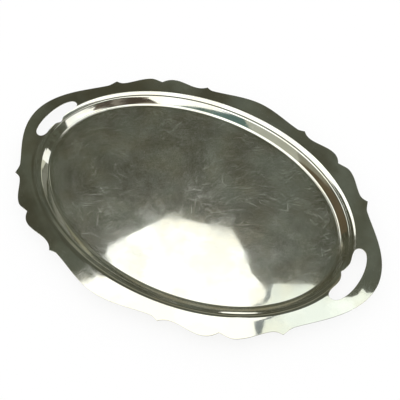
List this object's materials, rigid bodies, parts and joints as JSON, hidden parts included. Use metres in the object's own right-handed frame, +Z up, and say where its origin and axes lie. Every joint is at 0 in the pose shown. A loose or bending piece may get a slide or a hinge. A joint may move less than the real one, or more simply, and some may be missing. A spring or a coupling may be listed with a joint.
{
  "type": "serving tray",
  "caption": "Oval polished metal serving tray with a stepped well, a scalloped border and a pierced finger slot at each end.",
  "frame": {"origin": "on the surface that the tray stands on, under the middle of the well", "axes": "+X along the tray towards one finger slot, +Y across it, +Z up"},
  "size_m": [0.6, 0.416, 0.0198],
  "materials": {
    "polished_sheet": "polished silver-coloured sheet with fine scratches",
    "pad_rubber": "matt"
  },
  "bodies": {
    "root": {"tray_body": "polished_sheet", "pad_front_left": "pad_rubber", "pad_front_right": "pad_rubber", "pad_back_left": "pad_rubber", "pad_back_right": "pad_rubber"}
  },
  "joints": []
}
